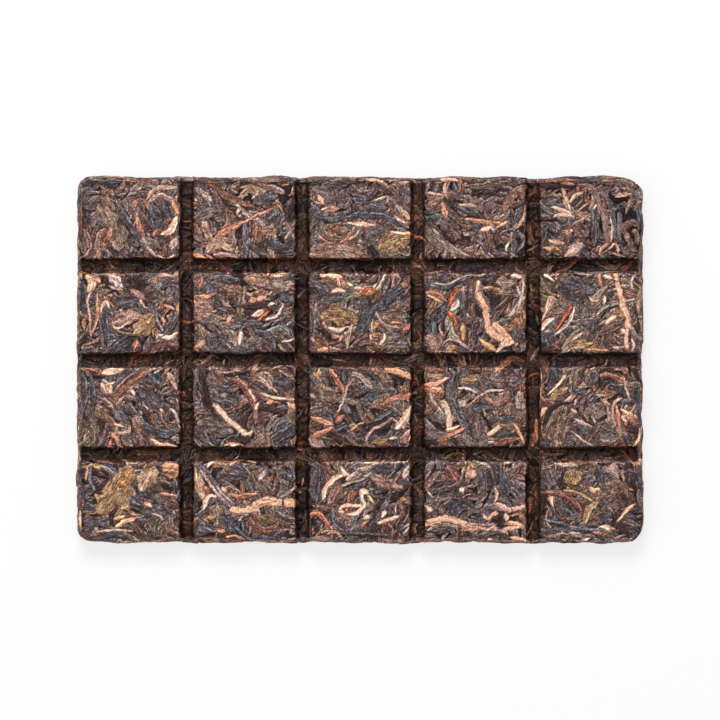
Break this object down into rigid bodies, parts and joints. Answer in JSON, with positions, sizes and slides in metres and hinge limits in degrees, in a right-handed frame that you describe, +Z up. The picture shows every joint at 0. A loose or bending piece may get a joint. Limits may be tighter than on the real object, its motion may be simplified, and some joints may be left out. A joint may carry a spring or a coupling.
{
  "type": "pressed pu-erh tea brick",
  "caption": "Thin rectangular brick of pressed dark tea leaves, scored by crossing grooves into break-off tiles, lying flat on its underside.",
  "frame": {"origin": "centre of the underside, on the surface that the brick lies on", "axes": "+X along the brick's length, +Y across it towards the back, +Z up through its thickness"},
  "size_m": [0.155, 0.1, 0.008],
  "materials": {
    "pressed_leaf": "pressed dry tea leaf, dark brown with tan, olive and slate strips, satin where flattened"
  },
  "bodies": {
    "root": {"tea_brick": "pressed_leaf"}
  },
  "joints": []
}
